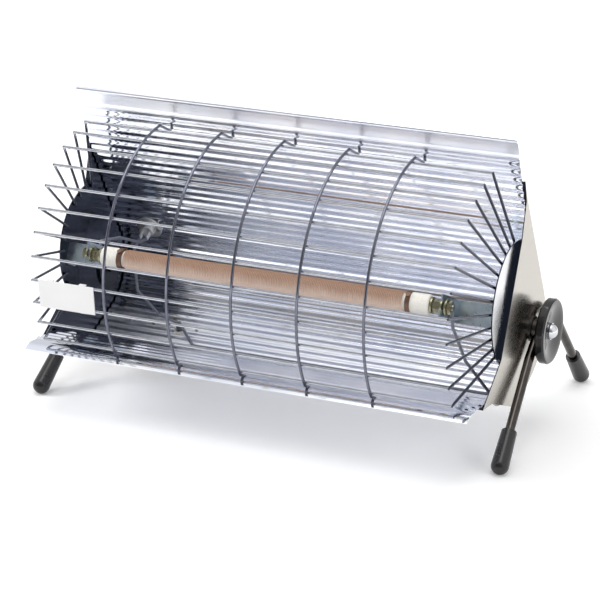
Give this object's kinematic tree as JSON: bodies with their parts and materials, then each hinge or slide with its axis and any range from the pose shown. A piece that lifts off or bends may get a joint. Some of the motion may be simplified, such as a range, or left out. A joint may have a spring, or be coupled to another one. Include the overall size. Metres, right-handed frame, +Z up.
{
  "type": "radiant room heater",
  "caption": "Tilting radiant heater: fluted steel reflector trough with wire guard and ceramic heating rod, clamped by knobs between two wire stands.",
  "frame": {"origin": "on the floor, under the middle of the whole heater", "axes": "+Z up, front towards -Y, +X along the heating rod"},
  "size_m": [0.4476, 0.2842, 0.2658],
  "materials": {
    "fluted_stainless": "bright rolled flutes",
    "cheek_stainless": "satin sheet",
    "rivet_steel": "domed heads",
    "guard_plate_steel": "bright sheet",
    "guard_chrome": "bright plated wire",
    "badge_metal": "bare white enamel",
    "rod_ceramic": "unglazed, off-white",
    "heating_wire": "oxidised resistance wire",
    "band_steel": "heat-darkened steel",
    "stud_steel": "plain steel",
    "terminal_brass": "dull brass",
    "bracket_steel": "heat-tinted steel",
    "cutout_metal": "pressed aluminium cap",
    "block_ceramic": "glazed terminal block",
    "lead_sleeve": "woven glass sleeving",
    "cover_steel": "satin sheet",
    "grommet_rubber": "moulded",
    "pivot_steel": "plain steel",
    "washer_fibre": "pressed fibre",
    "stand_chrome": "bright plated rod",
    "foot_rubber": "satin black",
    "knob_plastic": "glossy black",
    "insert_brass": "turned",
    "nut_chrome": "polished"
  },
  "bodies": {
    "heater_head": {"reflector": "fluted_stainless", "end_cheek_left": "cheek_stainless", "end_cheek_right": "cheek_stainless", "cheek_rivets": "rivet_steel", "guard_plate_left": "guard_plate_steel", "guard_plate_right": "guard_plate_steel", "grille_bars_upper": "guard_chrome", "grille_bars_middle": "guard_chrome", "grille_bars_lower": "guard_chrome", "grille_hoops_left": "guard_chrome", "grille_hoop_middle": "guard_chrome", "grille_hoops_right": "guard_chrome", "badge_plate": "badge_metal", "ceramic_rod": "rod_ceramic", "element_winding": "heating_wire", "terminal_bands": "band_steel", "band_screws": "band_steel", "terminal_studs": "stud_steel", "terminal_nuts": "terminal_brass", "bracket_left": "bracket_steel", "bracket_right": "bracket_steel", "bracket_rivets": "rivet_steel", "thermal_cutout": "cutout_metal", "cutout_screws": "rivet_steel", "terminal_block": "block_ceramic", "block_terminals": "terminal_brass", "element_leads": "lead_sleeve", "lead_bush": "rod_ceramic", "terminal_cover": "cover_steel", "cover_screws": "rivet_steel", "cord_grommet": "grommet_rubber", "earth_screw": "terminal_brass", "pivot_bolt_left": "pivot_steel", "pivot_bolt_right": "pivot_steel", "pivot_plates": "pivot_steel", "friction_washers": "washer_fibre", "dome_nut_left": "nut_chrome", "dome_nut_right": "nut_chrome"},
    "stand_right": {"stand_right": "stand_chrome", "feet_right": "foot_rubber"},
    "stand_left": {"stand_left": "stand_chrome", "feet_left": "foot_rubber"},
    "knob_right": {"knob_right": "knob_plastic", "knob_insert_right": "insert_brass"},
    "knob_left": {"knob_left": "knob_plastic", "knob_insert_left": "insert_brass"}
  },
  "joints": [
    {"name": "right_stand_tilt", "type": "hinge", "parent": "heater_head", "child": "stand_right", "pos_m": [0.2075, 0.02499, 0.087], "axis": [1, 0, 0], "range_deg": [-22, 60]},
    {"name": "left_stand_tilt", "type": "hinge", "parent": "heater_head", "child": "stand_left", "pos_m": [-0.2075, 0.02499, 0.087], "axis": [1, 0, 0], "range_deg": [-22, 60]},
    {"name": "right_knob_turn", "type": "hinge", "parent": "heater_head", "child": "knob_right", "pos_m": [0.216, 0.02499, 0.087], "axis": [1, 0, 0], "range_deg": [0, 180]},
    {"name": "left_knob_turn", "type": "hinge", "parent": "heater_head", "child": "knob_left", "pos_m": [-0.216, 0.02499, 0.087], "axis": [-1, 0, 0], "range_deg": [0, 180]}
  ]
}
